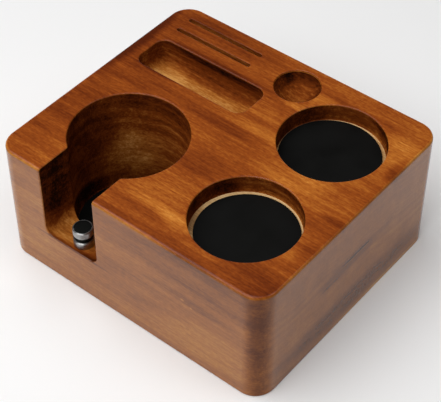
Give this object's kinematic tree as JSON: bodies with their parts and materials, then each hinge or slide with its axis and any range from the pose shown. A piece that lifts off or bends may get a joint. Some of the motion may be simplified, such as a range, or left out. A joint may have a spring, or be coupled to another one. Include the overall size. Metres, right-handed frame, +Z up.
{
  "type": "espresso tamping station",
  "caption": "Solid wood tamping station with a slotted portafilter bore, two padded round tool recesses, a pocket, a bowl, card slits and a screw-up neck rest.",
  "frame": {"origin": "middle of the block's underside", "axes": "+Z up, +X to the right along the block's width, -Y out of the front slot"},
  "size_m": [0.18, 0.158, 0.078],
  "materials": {
    "lacquered_wood": "reddish brown hardwood under a satin clear lacquer",
    "pad_rubber": "matt black",
    "turned_steel": "turned, bright chamfer",
    "knurled_steel": "knurled side, bright rims",
    "rest_rubber": "matt black"
  },
  "bodies": {
    "station": {"wood_block": "lacquered_wood", "portafilter_pad": "pad_rubber", "front_recess_pad": "pad_rubber", "back_recess_pad": "pad_rubber", "rest_collar": "turned_steel"},
    "rest_slider": {"rest_washer": "rest_rubber"},
    "rest_knob": {"rest_screw": "knurled_steel", "rest_disc": "rest_rubber"}
  },
  "joints": [
    {"name": "rest_lift", "type": "slide", "parent": "station", "child": "rest_slider", "axis": [0, 0, 1], "range_m": [0, 0.006]},
    {"name": "rest_turn", "type": "hinge", "parent": "rest_slider", "child": "rest_knob", "pos_m": [-0.0375, -0.0709, 0.0295], "axis": [0, 0, 1], "range_deg": [0, 2160]}
  ],
  "couplings": [
    {"joint": "rest_turn", "follows": "rest_lift", "rad_per_m": 6283.2}
  ]
}
